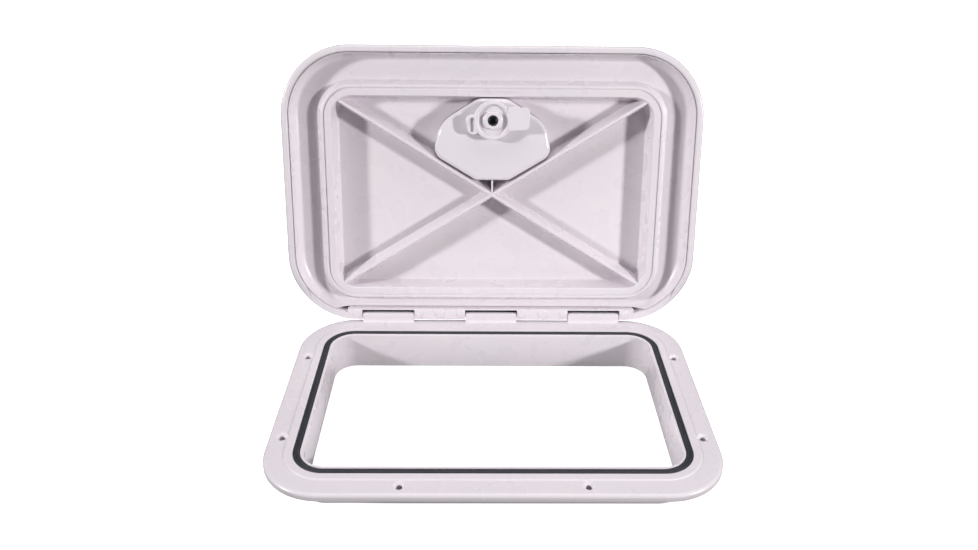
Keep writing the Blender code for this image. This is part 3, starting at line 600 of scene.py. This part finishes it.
def makeCove(look, back):
    # the liner turns up in a soft cove against the inside of the lip, but not along the hinge bar
    wall = lidLook["lipWidth"] + look["coveWall"]
    reach = look["coveReach"]
    curve = arcPoints(reach, look["coveTop"] - 1, look["face"] - look["coveTop"] + 1,
                      math.pi, -math.pi / 2, 10)
    squeeze = (reach - wall - 0.5) / (look["face"] - look["coveTop"] + 1)
    profile = [(reach - (reach - x) * squeeze, z) for x, z in curve]
    profile += [(reach, back - 0.4), (wall + 1.2, back - 0.4), (wall, look["coveTop"] - 1)]
    cove = sweep("cove", lidOutline, profile)
    fadeLip(cove, lidLook)
    rear = lidRear - lidLook["barWidth"] - look["gap"]
    return cut(cove, block("rear", (-200, rear, -5), (200, lidRear + 9, 40)))


def makeLiner(look):
    face = look["face"]
    back = face + lidLook["linerSheet"]
    floor = lidLook["floorFace"]
    inset = frameLook["grooveInset"] - look["ringOutset"]
    wide = look["crownWidth"]
    foot = wide + (floor - look["crown"]) * math.tan(math.radians(look["pocketDraft"]))
    root = face + 1
    bead = look["beadWidth"] - look["beadOutset"]
    under = look["ringHollow"]
    profile = filleted([
        (foot + 3, floor, 0), (foot, floor, 1.2), (wide, look["crown"], 1.0),
        (bead + look["beadGroove"], look["crown"], 0.3),
        (bead + look["beadGroove"], look["crown"] + look["beadDeep"], 0),
        (bead, look["crown"] + look["beadDeep"], 0), (bead, look["crown"], 0.5),
        (-look["beadOutset"], look["crown"], 1.2), (-look["flare"] - 0.3, root, 0),
        (-look["flare"] + 2.8, root, 0), (1.2, under, 0), (wide - 1.9, under, 0),
        (foot - 2, floor + lidLook["linerSheet"], 0)], closed=False, degrees=15)
    side = lidLook["lipWidth"] + 1.4 + look["gap"]
    rear = lidRear - lidLook["barWidth"] - look["gap"]
    front = lidFront + side
    outline = roundedRect(lidWidth - 2 * side, rear - front, lidRadius - side, (rear + front) / 2, 24)
    liner = plate("lidLiner", outline, face, back)
    grow = 2 * (look["flare"] - 1) - 2 * frameLook["grooveInset"]
    opening = roundedRect(frameLook["width"] + grow, frameLook["depth"] + grow,
                          frameLook["radius"] - frameLook["grooveInset"] + 6, middleY, 17)
    cut(liner, plate("opening", opening, 10, 35))
    ring = sweep("ring", lambda at: frameOutline(at + inset, 20), profile, True)
    across = frameLook["width"] / 2 - inset - wide
    along = frameLook["depth"] / 2 - inset - wide
    slope = math.atan2(along, across)
    length = 2 * math.hypot(across, along) - 12
    thin = look["webHalf"]
    web = block("web", (-thin, middleY - look["webLength"], look["ribCrest"] + thin),
                (thin, middleY, floor + 1))
    ribs = [straightRib(look, turn, length) for turn in (slope, -slope)]
    join(liner, makeCove(look, back), ring, *ribs, web)
    reach = (look["scoopHalf"] ** 2 + look["scoopDepth"] ** 2) / (2 * look["scoopDepth"])
    scoop = turned("scoop", [(0, 4.3), (reach, 4.3), (reach, -4), (0, -4)], steps=256)
    spun(scoop, Matrix.Translation((0, frontY + inset + wide, look["crown"] + look["scoopDepth"] - reach))
         @ Matrix.Rotation(math.pi / 2, 4, "X"))
    cut(liner, plate("fan", dishOutline(0.3), 0, 45), scoop)
    return place(liner, "lid", whiteAsa, ["lid_inner_liner"], 25)


makeLiner(linerLook)
print("lid liner made")


dishSizes = {"back": 5.5, "wall": 2.5, "rimLow": 32.2, "rimHigh": 33.7, "rimGrow": 6.0,
             "bore": 6.3, "edge": 3.4}


def makeDish(look):
    dish = plate("latchDish", dishOutline(0), look["back"], look["rimHigh"], look["edge"])
    join(dish, plate("rim", dishOutline(look["rimGrow"]), look["rimLow"], look["rimHigh"], 0.5))
    bore = turned("bore", [(0, 20), (look["bore"], 20), (look["bore"], 0), (0, 0)], 0, hubY, 0, 48)
    floor = look["back"] + look["wall"]
    cut(dish, plate("hollow", dishOutline(-look["wall"]), floor, 50), bore)
    return place(dish, "lid", dishAsa, ["latch_dish"])


makeDish(dishSizes)
print("dish made")


camSizes = {"top": 5.2, "bottom": -4.8, "radius": 17.0, "rim": 3.0, "well": -1.2,
            "boss": 7.6, "tongueReach": 32.0, "tongueTop": -1.4, "socketHalf": 4.3}
camScrewSizes = {"head": -4.5, "headRadius": 3.6, "under": -2.7, "shank": 2, "end": 12,
                 "recess": 1.9, "recessHalf": 0.4}


def fromHub(corners):
    return filleted([(x, hubY + y, r) for x, y, r in corners], degrees=9)


def makeCam(look):
    low = look["bottom"]
    radius = look["radius"]
    corners = [
        (2.3, 4, 0), (10, 4, 0), (10, look["top"], 0), (radius, look["top"], 0.8),
        (radius, low + 0.8, 1.0), (radius - look["rim"], low + 0.8, 0.7),
        (radius - look["rim"] - 0.6, look["well"], 0.8), (look["boss"] + 0.6, look["well"], 0.8),
        (look["boss"], low, 0.9), (4.7, low, 0.4), (4.7, -1.5, 0), (2.3, -1.5, 0)]
    cam = turned("latchCam", filleted(corners, degrees=18), 0, hubY, 0, 96)
    tongue = [(13, -12, 1.5), (look["tongueReach"], -11, 3), (look["tongueReach"], 8, 4), (13, 9, 1.5)]
    lobe = [(-24.7, -4.5, 5), (-12.5, -5.5, 1.6), (-12.5, 11, 1.6), (-22, 14, 6)]
    join(cam, plate("tongue", fromHub(tongue), low, look["tongueTop"], 0.6),
         plate("lobe", fromHub(lobe), low + 1.2, look["top"] - 0.4, 1.0))
    hollow = [(-22, -2, 3), (-16.5, -2.5, 1), (-16.5, 9, 1), (-20.5, 11, 2)]
    half = look["socketHalf"]
    cut(cam, plate("hollow", fromHub(hollow), low - 3, low + 3.4),
        block("socket", (-half, hubY - half, 0.6), (half, hubY + half, look["top"] + 1)))
    return place(cam, "latch", camNylon, ["cam"])


def makeCamScrew(look):
    shank = look["shank"]
    wide = look["headRadius"]
    profile = filleted([
        (0, look["end"], 0), (shank, look["end"], 0.3), (shank, look["under"], 0),
        (wide, look["under"], 0.2), (wide, look["head"], 1.1), (0, look["head"], 0)
    ], closed=False, degrees=15)
    screw = turned("camScrew", profile, 0, hubY, 0, 48)
    arms = ((look["recess"], look["recessHalf"]), (look["recessHalf"], look["recess"]))
    recess = [block("arm", (-x, hubY - y, -5), (x, hubY + y, -3.4)) for x, y in arms]
    cut(screw, *recess)
    return place(screw, "latch", darkScrew, ["cam_screw"])


makeCam(camSizes)
makeCamScrew(camScrewSizes)
print("cam made")


leverSizes = {"top": 28.0, "bottom": 8.6, "hub": 14.0, "reach": 45.0, "angle": 135.0,
              "crown": 12.6, "armLow": 17, "socketHalf": 4.3, "socketTop": 22.3,
              "ringRadius": 9.2, "ringTop": 11.3}


def makeLever(look):
    profile = filleted([
        (0, look["top"], 0), (look["crown"], look["top"], 2), (look["hub"], look["bottom"], 0.5),
        (0, look["bottom"], 0)], closed=False, degrees=15)
    lever = turned("latchLever", profile, 0, 0, 0, 72)
    reach = look["reach"]
    arm = filleted([(0, -8, 2), (reach, -6, 5), (reach, 6, 5), (0, 8, 2)], degrees=9)
    grip = plate("arm", arm, look["armLow"], look["top"] - 0.5, 1.5)
    join(lever, spun(grip, Matrix.Rotation(math.radians(look["angle"]), 4, "Z")))
    spun(lever, Matrix.Translation((0, hubY, 0)))
    high = look["ringTop"]
    ring = turned("ring", [(0, high), (look["ringRadius"], high), (look["ringRadius"], 0), (0, 0)],
                  0, hubY, 0, 48)
    half = look["socketHalf"]
    socket = block("socket", (-half, hubY - half, 0), (half, hubY + half, look["socketTop"]))
    cut(lever, socket, ring)
    return place(lever, "latch", whiteAsa, ["latch_handle"])


makeLever(leverSizes)
print("lever made")


# from here on, sizes are in metres
stageLook = {
    "floor": "#FDFDFD", "glow": 0.80, "drop": 0.0005, "reach": 3.6, "bend": 1.0, "height": 5.0,
    "sky": "#EEF6F3", "world": 0.08,
    "cardWidth": 0.25, "cardDepth": 0.10, "cardCorner": 0.03, "cardY": -0.125,
    "cardLow": 0.0004, "cardHigh": 0.0002,
}
lights = {
    "rightLamp": {"at": (1.35, -0.92, 0.52), "size": 0.18, "power": 22.0},
    "leftLamp": {"at": (-1.8, -0.85, 0.81), "size": 0.22, "power": 30.5},
    "overheadSoftbox": {"at": (0, 0.1, 1.7), "size": 1.4, "power": 13.0},
    "rearSoftbox": {"at": (0, 2.2, 0.8), "size": 0.4, "power": 34.0},
}
lightsAimAt = (0, 0, 0.08)
cameraLook = {"at": (-0.01233, -0.64708, 0.42029), "yaw": 0.87, "pitch": 29.02, "roll": 0.70,
              "lens": 30.0, "sensor": 36}


def makeStage(look):
    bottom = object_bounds()[0][2]
    reach = look["reach"]
    curve = arcPoints(reach, look["bend"], look["bend"], -math.pi / 2, math.pi / 2, 16)
    floor = turned("floor", [(0, 0)] + curve + [(reach + look["bend"], look["height"])], steps=96)
    floor.location.z = bottom - look["drop"]
    floor.data.shade_smooth()
    paper = newMaterial("matPaper", look["floor"])
    shader = addNode(paper, "ShaderNodeBsdfPrincipled", None, {
        "Base Color": linear(look["floor"]), "Roughness": 0.9,
        "Emission Color": linear("#FFFFFF"), "Emission Strength": look["glow"]})
    finish(paper, shader)
    floor.data.materials.append(paper)
    floor.visible_shadow = False     # it hides nothing from the sky
    floor.visible_diffuse = False    # the paper throws no light up into the pockets
    floor.visible_glossy = False     # and doesn't shine in the coaming walls
    # a small card of the same paper, under the opening, lights the coaming walls a little
    outline = roundedRect(look["cardWidth"], look["cardDepth"], look["cardCorner"], look["cardY"], 6)
    card = plate("innerCard", outline, bottom - look["cardLow"], bottom - look["cardHigh"])
    card.data.materials.append(paper)
    card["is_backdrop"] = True
    floor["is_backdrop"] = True
    world = bpy.data.worlds.new("studio")
    bpy.context.scene.world = world
    world.use_nodes = True
    sky = world.node_tree.nodes["Background"]
    sky.inputs["Color"].default_value = linear(look["sky"])
    sky.inputs["Strength"].default_value = look["world"]
    bpy.context.scene.view_settings.view_transform = "Standard"


def makeLights(lights):
    target = Vector(lightsAimAt)
    for name, look in lights.items():
        lamp = bpy.data.lights.new(name, "AREA")
        lamp.shape = "DISK"
        lamp.size = look["size"]
        lamp.energy = look["power"]
        obj = bpy.data.objects.new(name, lamp)
        obj.location = look["at"]
        obj.rotation_euler = (target - obj.location).to_track_quat("-Z", "Y").to_euler()
        bpy.context.scene.collection.objects.link(obj)


def makeCamera(look):
    yaw, pitch, roll = (math.radians(look[key]) for key in ("yaw", "pitch", "roll"))
    ahead = Vector((math.sin(yaw) * math.cos(pitch), math.cos(yaw) * math.cos(pitch), -math.sin(pitch)))
    right = Vector((math.cos(yaw), -math.sin(yaw), 0))
    up = right.cross(ahead)
    tiltedRight = right * math.cos(roll) + up * math.sin(roll)
    tiltedUp = up * math.cos(roll) - right * math.sin(roll)
    camera = bpy.data.objects.new("camera", bpy.data.cameras.new("camera"))
    camera.data.lens = look["lens"]
    camera.data.sensor_width = look["sensor"]
    turn = Matrix((tiltedRight, tiltedUp, -ahead)).transposed()
    camera.matrix_world = Matrix.Translation(look["at"]) @ turn.to_4x4()
    bpy.context.scene.collection.objects.link(camera)
    bpy.context.scene.camera = camera


makeStage(stageLook)
makeLights(lights)
makeCamera(cameraLook)
print("stage set")
